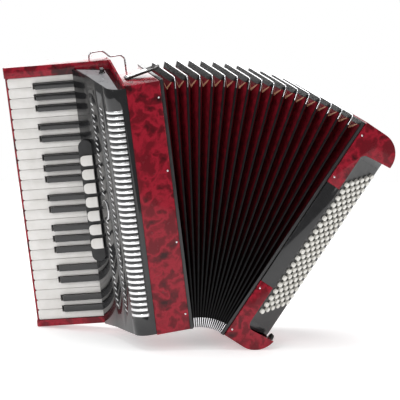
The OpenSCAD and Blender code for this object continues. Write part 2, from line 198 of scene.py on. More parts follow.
def pearl(name, dark, mid, bright):
    """Pearloid celluloid: cloudy flakes, warped by noise, under a clear polish."""
    paint = Paint(name, mid, 0.25, coat=0.22, specular=0.2)
    warp = paint.noise(26.0, 3.0)
    mix = paint.node("ShaderNodeMix")
    mix.data_type = "VECTOR"
    mix.inputs["Factor"].default_value = 0.035
    paint.link(paint.place, mix.inputs["A"])
    paint.link(warp.outputs["Color"], mix.inputs["B"])
    flakes = paint.node("ShaderNodeTexVoronoi", Scale=42.0, Randomness=1.0)
    flakes.feature = "SMOOTH_F1"
    flakes.inputs["Smoothness"].default_value = 0.6
    paint.link(mix.outputs["Result"], flakes.inputs["Vector"])
    clouds = paint.noise(34.0, 5.0, 0.62, mix.outputs["Result"])
    blend = paint.node("ShaderNodeMath")
    blend.operation = "MULTIPLY_ADD"
    blend.inputs[1].default_value = 0.55
    paint.link(flakes.outputs["Distance"], blend.inputs[0])
    paint.link(clouds.outputs["Fac"], blend.inputs[2])
    paint.color(blend.outputs[0], [(0.50, dark), (0.66, mid), (0.76, bright), (0.90, mid)])
    paint.roughness(clouds.outputs["Fac"], 0.16, 0.3)
    paint.bump(paint.noise(16.0, 1.0).outputs["Fac"], 0.05, 0.3)
    return paint.mat


def plastic(name, low, high, roughness, grain_mm=0.02, scale=60.0, coat=0.4):
    paint = Paint(name, high, roughness, coat=coat)
    cloud = paint.noise(scale)
    paint.color(cloud.outputs["Fac"], [(0.3, low), (0.7, high)])
    paint.roughness(cloud.outputs["Fac"], roughness * 0.8, roughness * 1.25)
    paint.bump(paint.noise(900.0, 2.0).outputs["Fac"], 0.12, grain_mm)
    return paint.mat


def pebbled(name, low, high, roughness, scale, depth_mm):
    """A textured black finish, or moulded rubber."""
    paint = Paint(name, high, roughness)
    cells = paint.node("ShaderNodeTexVoronoi", Scale=scale)
    paint.link(paint.place, cells.inputs["Vector"])
    paint.color(paint.noise(90.0).outputs["Fac"], [(0.3, low), (0.7, high)])
    paint.bump(cells.outputs["Distance"], 0.5, depth_mm)
    return paint.mat


def metal(name, low, high, roughness, brush=None):
    """Plated or rolled metal, with fine marks along one way where brush gives its scales."""
    paint = Paint(name, high, roughness, metallic=1.0)
    vector = paint.stretched(*brush) if brush else paint.place
    marks = paint.noise(400.0, 4.0, 0.6, vector)
    paint.color(paint.noise(30.0).outputs["Fac"], [(0.35, low), (0.65, high)])
    paint.roughness(marks.outputs["Fac"], roughness * 0.7, roughness * 1.4)
    paint.bump(marks.outputs["Fac"], 0.08, 0.02)
    return paint.mat


def cloth(name, dark, bright, weave_mm, sheen=0.0, roughness=0.7, shade_heights=None):
    """Woven cloth: two crossed waves for the threads and a cloudy colour.

    The last argument gives two heights in metres, between which the colour goes from nearly black to
    full: painted shade, darker towards the bottom.
    """
    paint = Paint(name, bright, roughness, sheen=sheen, specular=0.12)
    total = paint.node("ShaderNodeMath")
    total.operation = "ADD"
    for slot, axis in enumerate(("Y", "Z")):
        threads = paint.node("ShaderNodeTexWave", Scale=0.31 / (weave_mm * MM), Distortion=1.5)
        threads.bands_direction = axis
        paint.link(paint.place, threads.inputs["Vector"])
        paint.link(threads.outputs["Fac"], total.inputs[slot])
    shade = paint.ramp(paint.noise(110.0, 5.0).outputs["Fac"], [(0.3, dark), (0.7, bright)])
    # Painted shade: the colour is scaled down with height, darker towards the bottom, for the shade deep
    # in the lower folds.
    if shade_heights:
        height = paint.tree.nodes.new("ShaderNodeSeparateXYZ")
        paint.link(paint.place, height.inputs[0])
        painted_shade = paint.node("ShaderNodeMapRange")
        for name, value in (("From Min", shade_heights[0]), ("From Max", shade_heights[1]), ("To Min", 0.06)):
            painted_shade.inputs[name].default_value = value
        paint.link(height.outputs["Z"], painted_shade.inputs["Value"])
        scaled = paint.tree.nodes.new("ShaderNodeVectorMath")
        scaled.operation = "SCALE"
        paint.link(shade, scaled.inputs[0])
        paint.link(painted_shade.outputs["Result"], scaled.inputs["Scale"])
        shade = scaled.outputs["Vector"]
    paint.link(shade, paint.shader.inputs["Base Color"])
    paint.bump(total.outputs[0], 0.35, weave_mm * 0.3)
    return paint.mat


def hide(name, low, high, roughness, scale=900.0):
    """Leather: pores and creases, paler where it is worn."""
    paint = Paint(name, high, roughness, sheen=0.05)
    pores = paint.node("ShaderNodeTexVoronoi", Scale=scale)
    paint.link(paint.place, pores.inputs["Vector"])
    creases = paint.noise(120.0, 6.0, 0.7)
    paint.color(creases.outputs["Fac"], [(0.3, low), (0.7, high)])
    paint.roughness(creases.outputs["Fac"], roughness * 0.8, roughness * 1.2)
    paint.bump(pores.outputs["Distance"], 0.4, 0.15)
    return paint.mat


def grained_wood(name, dark, bright):
    paint = Paint(name, bright, 0.5)
    rings = paint.node("ShaderNodeTexWave", Scale=60.0, Distortion=6.0, Detail=3.0)
    paint.link(paint.stretched(1.0, 1.0, 0.12), rings.inputs["Vector"])
    paint.color(rings.outputs["Fac"], [(0.2, dark), (0.8, bright)])
    paint.bump(rings.outputs["Fac"], 0.15, 0.1)
    return paint.mat


RED = pearl("red_pearloid", rgb(0.035, 0.001, 0.003), rgb(0.15, 0.002, 0.009),
            rgb(0.34, 0.008, 0.024))
BLACK_GLOSS = plastic("black_polish", rgb(0.006, 0.006, 0.007), rgb(0.012, 0.012, 0.013), 0.1, 0.01)
BLACK_KEY = plastic("black_key_polish", rgb(0.005, 0.005, 0.006), rgb(0.01, 0.01, 0.011), 0.16, 0.01)
BLACK_SATIN = plastic("black_satin", rgb(0.012, 0.012, 0.013), rgb(0.022, 0.022, 0.024), 0.42, 0.03)
GREY_BOARD = plastic("grey_satin_board", rgb(0.008, 0.008, 0.008), rgb(0.014, 0.014, 0.015), 0.35,
                     0.03, coat=0.1)
GREY_PLATE = plastic("grey_end_plate", rgb(0.2, 0.2, 0.21), rgb(0.27, 0.27, 0.28), 0.3, 0.02)
TEXTURED = pebbled("black_textured", rgb(0.010, 0.010, 0.011), rgb(0.02, 0.02, 0.021), 0.5, 700.0, 0.25)
RUBBER = pebbled("black_rubber", rgb(0.012, 0.012, 0.012), rgb(0.03, 0.03, 0.03), 0.75, 1500.0, 0.1)
IVORY = plastic("ivory_white", rgb(0.72, 0.70, 0.67), rgb(0.81, 0.79, 0.77), 0.16, 0.01, 40.0)
PEARL_WHITE = plastic("button_white", rgb(0.76, 0.74, 0.68), rgb(0.88, 0.87, 0.82), 0.18, 0.01, 90.0)
CHROME = metal("chrome", rgb(0.72, 0.72, 0.74), rgb(0.86, 0.86, 0.88), 0.1)
SILVER = metal("bright_bars", rgb(0.82, 0.82, 0.83), rgb(0.92, 0.92, 0.93), 0.24, (1.0, 1.0, 12.0))
SCREEN = metal("bright_screen", rgb(0.80, 0.80, 0.81), rgb(0.93, 0.93, 0.94), 0.34, (8.0, 1.0, 1.0))
STRIP = plastic("bright_strip", rgb(0.62, 0.62, 0.63), rgb(0.78, 0.78, 0.79), 0.3, 0.02)
STEEL = metal("drawn_steel", rgb(0.5, 0.5, 0.51), rgb(0.62, 0.62, 0.63), 0.3, (1.0, 1.0, 0.1))
ALLOY = metal("milled_alloy", rgb(0.6, 0.6, 0.61), rgb(0.72, 0.72, 0.73), 0.35, (1.0, 10.0, 1.0))
# The red bellows cloth carries painted shade, from full colour at 0.48 m down to nearly black at 0.16 m.
RED_CLOTH = cloth("bellows_cloth", rgb(0.07, 0.001, 0.004), rgb(0.20, 0.003, 0.012), 0.5,
                  shade_heights=(0.16, 0.48))
TAPE = cloth("bellows_tape", rgb(0.004, 0.004, 0.004), rgb(0.009, 0.009, 0.010), 0.6, 0.0, 0.5)
LINING = cloth("bellows_lining", rgb(0.003, 0.002, 0.002), rgb(0.006, 0.004, 0.004), 0.6, 0.0, 0.9)
TAN = hide("gusset_leather", rgb(0.42, 0.20, 0.11), rgb(0.66, 0.38, 0.24), 0.55)
BLACK_LEATHER = hide("black_leather", rgb(0.012, 0.010, 0.009), rgb(0.035, 0.03, 0.027), 0.45)
THREAD = cloth("strap_thread", rgb(0.3, 0.28, 0.25), rgb(0.5, 0.47, 0.42), 0.3)
SPRUCE = grained_wood("planed_spruce", rgb(0.42, 0.25, 0.12), rgb(0.66, 0.46, 0.27))


# ---- ways to make a piece ----

def finish_mesh(mesh, sharp=32.0):
    """Smooth shading that stays crisp at edges sharper than an angle."""
    mesh.validate()
    mesh.shade_smooth()
    mesh.set_sharp_from_angle(angle=math.radians(sharp))


def piece(name, bm, mats, body, place=None, sharp=32.0, stands_for=()):
    """A new object from a bmesh, in millimetres of a frame, or in metres where no frame is given."""
    if place is not None:
        bmesh.ops.transform(bm, matrix=Matrix.Scale(MM, 4) @ place, verts=bm.verts)
    bmesh.ops.recalc_face_normals(bm, faces=bm.faces)
    mesh = bpy.data.meshes.new(name)
    bm.to_mesh(mesh)
    bm.free()
    for mat in mats:
        mesh.materials.append(mat)
    finish_mesh(mesh, sharp)
    made = bpy.data.objects.new(name, mesh)
    bpy.context.scene.collection.objects.link(made)
    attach(made, body)
    if stands_for:
        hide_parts(*stands_for)
    return made


def sharp_edges(bm, degrees):
    limit = math.radians(degrees)
    return [e for e in bm.edges if len(e.link_faces) == 2 and e.calc_face_angle(0.0) > limit]


def bevel(bm, edges, width, segments=2):
    bmesh.ops.bevel(bm, geom=edges, offset=width, offset_type="OFFSET", segments=segments,
                    profile=0.5, affect="EDGES", clamp_overlap=True)


def softened(name, node, mat, width_mm, segments=2, tune=None):
    """A copy of a CAD node whose edges are rounded, which stands for the node."""
    bm = bmesh.new()
    bm.from_mesh(NODES[node].data)
    bmesh.ops.remove_doubles(bm, verts=bm.verts, dist=0.02 * MM)
    bmesh.ops.dissolve_limit(bm, angle_limit=math.radians(0.6), verts=bm.verts, edges=bm.edges)
    if tune:
        tune(bm)
    bevel(bm, sharp_edges(bm, 35.0), width_mm * MM, segments)
    return piece(name, bm, [mat], NODES[node]["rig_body"], sharp=40.0, stands_for=[node])


def dress(mat, *nodes):
    """A CAD node that stays gets its finish here."""
    for node in nodes:
        mesh = NODES[node].data
        mesh.materials.clear()
        mesh.materials.append(mat)


def block(bm, low, high, round_mm=0.0):
    """A box between two corners, with rounded edges."""
    made = bmesh.ops.create_cube(bm, size=1.0)["verts"]
    size = Vector(high) - Vector(low)
    middle = (Vector(high) + Vector(low)) / 2
    bmesh.ops.scale(bm, vec=size, verts=made)
    bmesh.ops.translate(bm, vec=middle, verts=made)
    if round_mm:
        bevel(bm, list({e for v in made for e in v.link_edges}), round_mm, 3)


def lathe(bm, profile, place, steps=32):
    """A turned shape: a profile of radius and height round the local z axis, closed at both ends."""
    rings = []
    for radius, height in profile:
        ring = [bm.verts.new(place @ Vector((radius * math.cos(2 * math.pi * i / steps),
                                             radius * math.sin(2 * math.pi * i / steps), height)))
                for i in range(steps)]
        rings.append(ring)
    for low, high in zip(rings, rings[1:]):
        for i in range(steps):
            j = (i + 1) % steps
            bm.faces.new((low[i], low[j], high[j], high[i]))
    bm.faces.new(rings[0][::-1])
    bm.faces.new(rings[-1])


def sweep(bm, path, section, closed=False):
    """A tube: section(i) gives the corners of the section at point i of a path, already in place."""
    rings = [[bm.verts.new(p) for p in section(i)] for i in range(len(path))]
    pairs = list(zip(rings, rings[1:])) + ([(rings[-1], rings[0])] if closed else [])
    for low, high in pairs:
        for i in range(len(low)):
            j = (i + 1) % len(low)
            bm.faces.new((low[i], low[j], high[j], high[i]))
    if not closed:
        bm.faces.new(rings[0][::-1])
        bm.faces.new(rings[-1])
    return rings


def round_bar(width, height, corner, steps=4):
    """Corners of a rounded rectangle, as pairs of numbers."""
    points = []
    for quarter, (sx, sy) in enumerate(((1, 1), (-1, 1), (-1, -1), (1, -1))):
        for i in range(steps + 1):
            a = math.radians(90 * (quarter + i / steps))
            points.append((sx * (width / 2 - corner) + corner * math.cos(a),
                           sy * (height / 2 - corner) + corner * math.sin(a)))
    return points


def slab(bm, outline, low_z, high_z):
    """A flat plate between two heights, with an outline of x and y."""
    low, top = ([bm.verts.new((x, y, z)) for x, y in outline] for z in (low_z, high_z))
    bm.faces.new(low[::-1])
    bm.faces.new(top)
    for i in range(len(outline)):
        j = (i + 1) % len(outline)
        bm.faces.new((low[i], low[j], top[j], top[i]))


# ---- camera, light and floor ----

FLOOR_REACH = 1.5
WORLD_LIGHT = 0.3


def stage():
    camera = bpy.data.objects.new("camera", bpy.data.cameras.new("camera"))
    bpy.context.scene.collection.objects.link(camera)
    camera.data.lens = 273.6
    camera.data.sensor_width = 36.0
    camera.data.clip_end = 50.0
    camera.location = (-1.322, -5.296, 1.302)
    yaw, pitch, roll = -14.11, -10.85, 2.85
    camera.rotation_euler = (turn("Z", yaw) @ turn("X", 90 + pitch) @ turn("Z", roll)).to_euler()
    bpy.context.scene.camera = camera
    bpy.context.scene.view_settings.view_transform = "Standard"

    # A white backdrop, which lights the object less than it shows
    world = bpy.data.worlds.new("studio")
    world.use_nodes = True
    nodes, links = world.node_tree.nodes, world.node_tree.links
    background = nodes["Background"]
    background.inputs["Color"].default_value = rgb(1.0, 1.0, 1.0)
    strength = nodes.new("ShaderNodeMapRange")
    strength.inputs["To Min"].default_value = WORLD_LIGHT
    strength.inputs["To Max"].default_value = 1.0
    links.new(nodes.new("ShaderNodeLightPath").outputs["Is Camera Ray"], strength.inputs["Value"])
    links.new(strength.outputs["Result"], background.inputs["Strength"])
    bpy.context.scene.world = world

    def lamp(name, place, aim, size, watts):
        data = bpy.data.lights.new(name, "AREA")
        data.shape = "RECTANGLE"
        data.size, data.size_y = size
        data.energy = watts
        made = bpy.data.objects.new(name, data)
        made.location = place
        made.rotation_euler = (Vector(aim) - Vector(place)).to_track_quat("-Z", "Y").to_euler()
        bpy.context.scene.collection.objects.link(made)

    middle = (0.0, 0.0, 0.28)
    lamp("top_softbox", (-0.1, 0.2, 2.2), middle, (1.8, 1.4), 34.0)
    lamp("left_key", (-2.0, -1.6, 1.5), middle, (1.0, 1.4), 22.0)
    lamp("right_fill", (1.9, -1.8, 1.0), middle, (0.8, 1.6), 8.0)
    lamp("back_panel", (0.55, 3.1, 1.1), middle, (3.2, 1.4), 36.0)

    floor = bmesh.new()
    bmesh.ops.create_grid(floor, x_segments=2, y_segments=2, size=FLOOR_REACH)
    mesh = bpy.data.meshes.new("floor")
    floor.to_mesh(mesh)
    floor.free()
    made = bpy.data.objects.new("floor", mesh)
    paper = Paint("pale_paper", rgb(0.9, 0.9, 0.9), 0.8)
    paper.set("Emission Color", rgb(1.0, 1.0, 1.0))
    paper.set("Emission Strength", 0.42)
    paper.bump(paper.noise(300.0).outputs["Fac"], 0.03, 0.1)
    mesh.materials.append(paper.mat)
    bpy.context.scene.collection.objects.link(made)


# ---- treble side ----

def grille_arc(radius, start, stop, steps):
    """Points round the front corner of the grille, as x and y of the treble frame."""
    points = []
    for i in range(steps + 1):
        a = math.radians(start + (stop - start) * i / steps)
        points.append((RIDGE_X + CORNER_R + radius * math.cos(a), CORNER_R + radius * math.sin(a), a))
    return points


BAR_H, BAR_T = 5.6, 2.2
BAR_DROP = 3.0
STRIP_HALF = Vector((0.8, 5.3, 2.0))
STRIP_TURN, STRIP_SLANT = 16.0, 24.0
# The two columns of slanting slots, as x, y and height over the openings, and the badge's half height
SLOT_COLUMNS = ((-111.3, 80.0, 4.0), (-102.8, 46.0, 0.0))
BADGE_REACH = 22.0


def opening_z(i):
    """Height of opening i of the grille over its middle."""
    return (i - (GRILLE_SLOTS - 1) / 2) * GRILLE_PITCH


def grille_bars():
    """The bright bars that wrap the front corner, one in each of the 37 openings."""
    bm = bmesh.new()
    section = round_bar(BAR_T, BAR_H, 1.0)
    path = grille_arc(CORNER_R - 0.5, 189.0, 266.0, 14)
    for i in range(GRILLE_SLOTS):
        z = opening_z(i) - BAR_DROP

        def ring(n):
            x, y, a = path[n]
            return [(x + out * math.cos(a), y + out * math.sin(a), z + up) for out, up in section]

        sweep(bm, path, ring)
    piece("grille_bars", bm, [SILVER], "treble", TREBLE)


def grille_slot_fills():
    """Bright strips of the screen that stand in the slanting slots."""
    bm = bmesh.new()
    for i in range(GRILLE_SLOTS):
        for column, (x, y, over) in enumerate(SLOT_COLUMNS):
            z = opening_z(i) + over
            if column == 0 and abs(z) <= BADGE_REACH:
                continue
            strip = bmesh.new()
            block(strip, -STRIP_HALF, STRIP_HALF, 0.3)
            place = Matrix.Translation((x, y, z)) @ turn("Z", STRIP_TURN) @ turn("X", STRIP_SLANT)
            bmesh.ops.transform(strip, matrix=place, verts=strip.verts)
            spots = {v: bm.verts.new(v.co) for v in strip.verts}
            for face in strip.faces:
                bm.faces.new([spots[v] for v in face.verts])
            strip.free()
    piece("grille_slot_strips", bm, [STRIP], "treble", TREBLE)


def grille_trim():
    """Grey plate and small knob on the grille's top end, and the plain oval plate among the slots."""
    lid = TREBLE @ Matrix.Translation((0.0, 0.0, GRILLE_TOP - 2.0)) @ turn("X", TOP_SLOPE)
    outline = [(-76.4, 3.6), (-86.0, 3.6)]
    outline += [point[:2] for point in reversed(grille_arc(CORNER_R - 3.6, 182.0, 256.0, 8))]
    outline += [(-104.0, 58.0), (-112.4, 94.5), (-123.0, 133.0), (-76.4, 108.0)]
    bm = bmesh.new()
    slab(bm, outline, -0.2, 0.9)
    bevel(bm, sharp_edges(bm, 40.0), 0.3, 2)
    piece("grille_end_plate", bm, [GREY_PLATE], "treble", lid)

    knob = Matrix.Translation((-84.0, 97.0, 0.8))
    bm = bmesh.new()
    lathe(bm, [(5.6, 0.0), (5.8, 0.6), (5.2, 1.2), (4.2, 1.6), (4.0, 6.4), (4.4, 7.2), (4.2, 8.4),
               (3.0, 9.0)], knob)
    piece("end_plate_knob", bm, [BLACK_GLOSS], "treble", lid)
    bm = bmesh.new()
    lathe(bm, [(3.0, 0.0), (3.1, 0.6), (2.6, 1.2), (1.2, 1.5)],
          knob @ Matrix.Translation((0, 0, 8.8)))
    piece("end_plate_knob_cap", bm, [CHROME], "treble", lid)

    face = TREBLE @ Matrix.Translation((-112.4, 75.5, -4.0)) @ turn("Z", -76.5) @ turn("X", 90.0)
    for name, mat, slot, wide, high, thick in (
            ("grille_badge_rim", CHROME, "chrome", 24.0, 38.0, 1.3),
            ("grille_badge_face", BLACK_GLOSS, "black_gloss", 21.4, 35.4, 1.9)):
        bm = bmesh.new()
        lathe(bm, [(0.98, -1.0), (1.0, thick * 0.5), (0.985, thick * 0.85), (0.95, thick)],
              Matrix.Diagonal((wide / 2, high / 2, 1.0, 1.0)), 64)
        piece(name, bm, [mat], "treble", face)


def panel_pins(name, places, place, body):
    """Round-headed pins that hold the bellows frames, seen on the front of a casing."""
    bm = bmesh.new()
    for x, z in places:
        lathe(bm, [(1.9, -0.4), (1.95, 0.2), (1.7, 0.7), (1.1, 1.15), (0.4, 1.3)],
              Matrix.Translation((x, 0.0, z)) @ turn("X", 90.0), 20)
    piece(name, bm, [CHROME], body, place)


def treble_side():
    softened("treble_casing", "treble_case", RED, 1.8, 3)
    softened("keyboard_bed", "keyboard_frame", RED, 1.6, 3)
    softened("grille_cover", "treble_grille", BLACK_GLOSS, 0.35)
    softened("register_housing", "register_bank", TEXTURED, 2.0, 3)
    softened("bellows_frame_treble", "treble_bellows_frame", BLACK_SATIN, 0.8)
    dress(SCREEN, "grille_screen")
    dress(STEEL, "key_axle")
    dress(ALLOY, "treble_soundboard")
    dress(SPRUCE, "treble_reed_blocks")
    grille_bars()
    grille_slot_fills()
    grille_trim()
    panel_pins("treble_panel_pins", [(-6.0, z) for z in (200.0, 66.0, -66.0, -200.0)], TREBLE, "treble")
    for i in range(1, REGISTERS + 1):
        softened("register_paddle_%d" % i, "register_switch_%d" % i, IVORY, 0.7, 3)


def key_tips(bm):
    """Rounds the outer ends of the white keys, in plan, before their other edges."""
    inverse = (Matrix.Scale(MM, 4) @ KEYS).inverted()
    tips = []
    for edge in bm.edges:
        a, b = (inverse @ v.co for v in edge.verts)
        upright = abs(a.x - b.x) < 0.2 and abs(a.z - b.z) < 0.2
        if upright and abs(a.x + KEY_LEN) < 0.3 and edge.is_manifold and edge.calc_face_angle(0.0) > 1.0:
            tips.append(edge)
    bevel(bm, tips, 3.2 * MM, 4)


def keyboard():
    for note in WHITE_NOTES:
        softened("white_keys_" + note, "keys_" + note, IVORY, 0.7, 2, key_tips)
    for note in BLACK_NOTES:
        softened("black_keys_" + note, "keys_" + note + "_sharp", BLACK_KEY, 0.9, 3)


# ---- bellows ----

VALLEY = 22.6
TAPE_W = 9.5
TAPE_SIDE = 0.28
TAPE_T = 0.35
CREST_T = 1.25
BOARD_T = 1.3
RING_ROUND = 7.0


def ring_points():
    """Points round a fold's outer edge, as y, w and the y and w of the same place in the valley."""
    low_y, high_y = BELLOWS_Y, BELLOWS_Y + BELLOWS_D
    points = []
    corners = ((high_y, BELLOWS_H, 0), (low_y, BELLOWS_H, 90), (low_y, 0.0, 180), (high_y, 0.0, 270))
    for y, w, start in corners:
        cy = y + (RING_ROUND if y == low_y else -RING_ROUND)
        cw = w + (RING_ROUND if w == 0.0 else -RING_ROUND)
        for i in range(5):
            a = math.radians(start + 90 * i / 4)
            points.append((cy + RING_ROUND * math.cos(a), cw + RING_ROUND * math.sin(a)))
    full = []
    for here, after in zip(points, points[1:] + points[:1]):
        steps = max(1, round(math.dist(here, after) / 45.0))
        for s in range(steps):
            full.append([here[n] + (after[n] - here[n]) * s / steps for n in (0, 1)])
    inner = [(min(max(y, low_y + VALLEY), high_y - VALLEY), min(max(w, VALLEY), BELLOWS_H - VALLEY))
             for y, w in full]
    return [(*outer, *inside) for outer, inside in zip(full, inner)]


def valley_u(w):
    """Distance from a fold's plane to the plane halfway to its neighbour, at a height."""
    return FOLD_PITCH / 2 + max(w, 0.0) * math.tan(math.radians(FOLD_STEP / 2))


def on_pleat(ring_point, depth, side, lift=0.0):
    """A point on the outside of a half pleat, at a depth below the crest, lifted off the cloth."""
    y, w, inner_y, inner_w = ring_point
    share = depth / VALLEY
    y, w = y + (inner_y - y) * share, w + (inner_w - w) * share
    slope = max(0.0, (depth - 1.2) / (VALLEY - 1.2))
    u = CREST_T + (valley_u(w) - 0.2 - CREST_T) * slope
    if depth < 1.2:
        u = CREST_T * math.sqrt(max(0.0, 1 - (1 - depth / 1.2) ** 2))
    return Vector((side * (u + lift), y, w))


def pleat(sides):
    """Cloth of one fold: the half pleats on its two sides, taped along the crest."""
    ring = ring_points()
    depths = [(VALLEY, 0.0), (17.0, 0.0), (TAPE_W + 0.1, 0.0), (TAPE_W, TAPE_T), (5.0, TAPE_T),
              (1.2, TAPE_T), (0.35, TAPE_T * 0.7)]
    profile = []
    if -1 in sides:
        profile += [(depth, -1, lift) for depth, lift in depths]
    profile += [(0.0, sides[0], 0.0)]
    if 1 in sides:
        profile += [(depth, 1, lift) for depth, lift in reversed(depths)]
    inside = [(depth + BOARD_T, side, lift) for depth, side, lift in reversed(profile)]
    bm = bmesh.new()

    def cut(i, depth):
        """The tape is full width on the top only."""
        wide = min(1.0, max(0.0, (ring[i][1] - BELLOWS_H + RING_ROUND) / RING_ROUND))
        return depth * (TAPE_SIDE + (1 - TAPE_SIDE) * wide) if 1.2 < depth <= TAPE_W + 0.1 else depth

    def section(i):
        outer = [on_pleat(ring[i], cut(i, depth), side, lift) for depth, side, lift in profile]
        back = []
        for depth, side, lift in inside:
            point = on_pleat(ring[i], cut(i, depth - BOARD_T), side, 0.0)
            inward = Vector((0.0, ring[i][2] - ring[i][0], ring[i][3] - ring[i][1])).normalized()
            back.append(point + inward * BOARD_T)
        return outer + back

    rings = sweep(bm, ring, section, closed=True)
    spot_of = {v: i for ring_verts in rings for i, v in enumerate(ring_verts)}
    taped = {i for i, (depth, side, lift) in enumerate(profile) if depth <= TAPE_W}
    for face in bm.faces:
        spots = {spot_of[v] for v in face.verts}
        bare_cloth = max(spots) < len(profile) and not spots <= taped
        face.material_index = 0 if bare_cloth else 1
    return bm


def gussets(bm, sides):
    """Leather strips down the four corner folds of each half pleat."""
    ring = ring_points()
    for sign_y, sign_w in ((1, 1), (-1, 1), (-1, -1), (1, -1)):
        corner = max(ring, key=lambda p: sign_y * p[0] + sign_w * p[1])
        for side in sides:
            line = [on_pleat(corner, depth, side, 0.5) for depth in (VALLEY - 0.3, 18.0, 13.0, 8.5)]
            widths = (3.4, 2.8, 2.0, 0.8)

            def section(i):
                wide = Vector((0.0, -sign_y, sign_w)) * widths[i] / 2
                drop = Vector((-side * 0.7, 0, 0))
                p = line[i]
                return [p - wide, p + wide, p + wide + drop, p - wide + drop]

            start = len(bm.faces)
            sweep(bm, line, section)
            bm.faces.ensure_lookup_table()
            for face in bm.faces[start:]:
                face.material_index = 2


def lining():
    """Dark strip inside the valley after a fold, which closes it."""
    inset = VALLEY + 2.2
    ring = ring_points()
    bm = bmesh.new()

    def section(i):
        y, w, inner_y, inner_w = ring[i]
        low_y, high_y = BELLOWS_Y + inset, BELLOWS_Y + BELLOWS_D - inset
        y = min(max(inner_y, low_y), high_y)
        w = min(max(inner_w, inset), BELLOWS_H - inset)
        out = Vector((0.0, ring[i][0] - y, ring[i][1] - w)).normalized() * 0.8
        far = 2 * valley_u(w) - 0.3
        base = Vector((0.0, y, w))
        return [base + Vector((-1.0, 0, 0)), base + Vector((far, 0, 0)),
                base + Vector((far, 0, 0)) - out, base + Vector((-1.0, 0, 0)) - out]

    sweep(bm, ring, section, closed=True)
    return bm


def crest_trim():
    """Metal caps round the corners of a fold, and bright edging along its top crest."""
    bm = bmesh.new()

    def run(points, radius, mat_index):
        def section(i):
            before, after = points[max(i - 1, 0)], points[min(i + 1, len(points) - 1)]
            along = (after - before).normalized()
            out = Vector((0.0, along.z, -along.y))
            return [points[i] + radius * (math.cos(a) * Vector((0.9, 0, 0)) + math.sin(a) * out)
                    for a in (math.radians(45 * s) for s in range(8))]

        start = len(bm.faces)
        sweep(bm, points, section)
        bm.faces.ensure_lookup_table()
        for face in bm.faces[start:]:
            face.material_index = mat_index

    cap = 20.0
    # Each corner's arc, with a straight leg each way
    for y_side in (0, 1):
        for w_side in (0, 1):
            y = BELLOWS_Y + BELLOWS_D * y_side
            w = BELLOWS_H * w_side
            iy, iw = (1, -1)[y_side], (1, -1)[w_side]
            points = [Vector((0.0, y + 0.3 * iy, w + iw * cap))]
            for i in range(7):
                a = math.radians(90 * i / 6)
                points.append(Vector((0.0, y + iy * (0.3 + RING_ROUND * (1 - math.cos(a))),
                                      w + iw * (0.3 + RING_ROUND * (1 - math.sin(a))))))
            points.append(Vector((0.0, y + iy * cap, w + 0.3 * iw)))
            run(points, 1.15, 0)
    top = BELLOWS_H - 0.15
    ends = (BELLOWS_Y + cap - 1.0, BELLOWS_Y + BELLOWS_D - cap + 1.0)
    run([Vector((0.0, ends[0] + (ends[1] - ends[0]) * i / 4, top)) for i in range(5)], 1.25, 1)
    return bm


def squash_with_fan(made):
    """Gives the piece its own copy of its mesh."""
    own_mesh(made)


def bellows():
    for k in range(FOLDS + 2):
        body = "treble" if k == 0 else "bass" if k == FOLDS + 1 else "fold_%02d" % k
        sides = [1] if k == 0 else [-1] if k == FOLDS + 1 else [-1, 1]
        place = fold_frame(k)
        bm = pleat(sides)
        gussets(bm, sides)
        made = piece("bellows_cloth_%02d" % k, bm, [RED_CLOTH, TAPE, TAN], body,
                     place, 50.0)
        if 0 < k <= FOLDS:
            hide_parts("bellows_fold_%02d" % k)
        squash_with_fan(made)
        if k <= FOLDS:
            strip = piece("bellows_lining_%02d" % k, lining(), [LINING], body, place)
            squash_with_fan(strip)
        if 0 < k <= FOLDS:
            piece("bellows_corners_%02d" % k, crest_trim(), [CHROME, SILVER], body, place,
                  60.0)


# ---- bass side ----

LIPS = (48.0, 409.0)


def bass_side():
    # The casing's lips beside the button board are black
    casing = softened("bass_casing", "bass_case", RED, 1.6, 3).data
    casing.materials.append(BLACK_SATIN)
    to_slope = (Matrix.Scale(MM, 4) @ SLOPE).inverted()
    for face in casing.polygons:
        middle = to_slope @ face.center
        if abs(middle.y) < 0.8 and LIPS[0] < middle.z < LIPS[1]:
            face.material_index = 1
    softened("bass_black_front", "bass_front_panel", BLACK_GLOSS, 0.3)
    softened("bass_frame", "bass_bellows_frame", BLACK_SATIN, 0.8)
    dress(GREY_BOARD, "bass_button_board")
    dress(PEARL_WHITE, "air_button", *["bass_buttons_row_%d" % i for i in range(1, BUTTON_ROWS + 1)])
    dress(SPRUCE, "bass_reed_blocks")
    softened("bass_rubber_feet", "bass_feet", RUBBER, 0.8, 3)
    pins = [(6.0, w) for w in (18.0, 108.0, 350.0, 440.0)]
    panel_pins("bass_panel_pins", pins, BASS, "bass")


# ---- straps and wire ----

STRAP_Y = 126.0
STRAP_W = 56.0
STRAP_FROM, STRAP_TO = 62.0, 398.0
STRAP_BOW = 24.0
STRAP_T = 2.6


